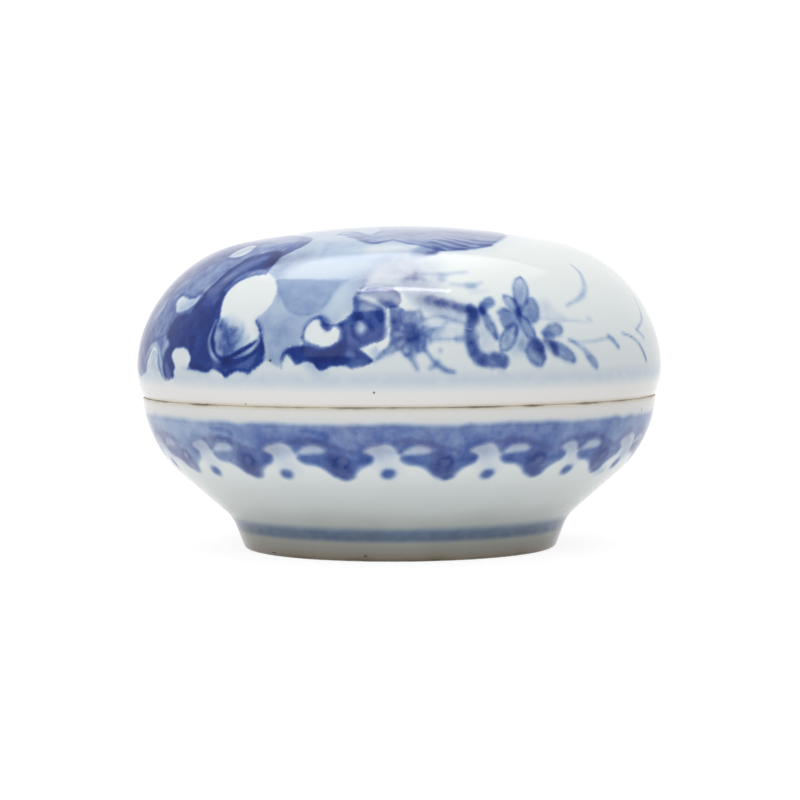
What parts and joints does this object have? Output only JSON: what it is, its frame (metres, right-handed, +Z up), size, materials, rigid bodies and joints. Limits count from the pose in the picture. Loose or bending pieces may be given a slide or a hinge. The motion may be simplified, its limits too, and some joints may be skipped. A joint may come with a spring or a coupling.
{
  "type": "round covered seal-paste box",
  "caption": "Round porcelain box on a foot ring with a domed lift-off lid over a flange, holding a mound of red seal paste, painted in underglaze blue.",
  "frame": {"origin": "centre of the foot ring, on the surface that the box stands on", "axes": "+Z up along the turning axis that base and lid share; the main painted side faces -Y, and +X is to its right"},
  "size_m": [0.085, 0.085, 0.052],
  "materials": {
    "base_porcelain": "gloss clear glaze over white porcelain painted in cobalt blue, with a bare shoulder and a bare foot",
    "lid_porcelain": "gloss clear glaze over white porcelain painted in cobalt blue, with a bare rim",
    "red_paste": "thick oily vermilion paste with an uneven stirred surface"
  },
  "bodies": {
    "base": {"base": "base_porcelain", "seal_paste": "red_paste"},
    "lid": {"lid": "lid_porcelain"}
  },
  "joints": [
    {"name": "lid_lift", "type": "slide", "parent": "base", "child": "lid", "axis": [0, 0, 1], "range_m": [0, 0.08]}
  ]
}
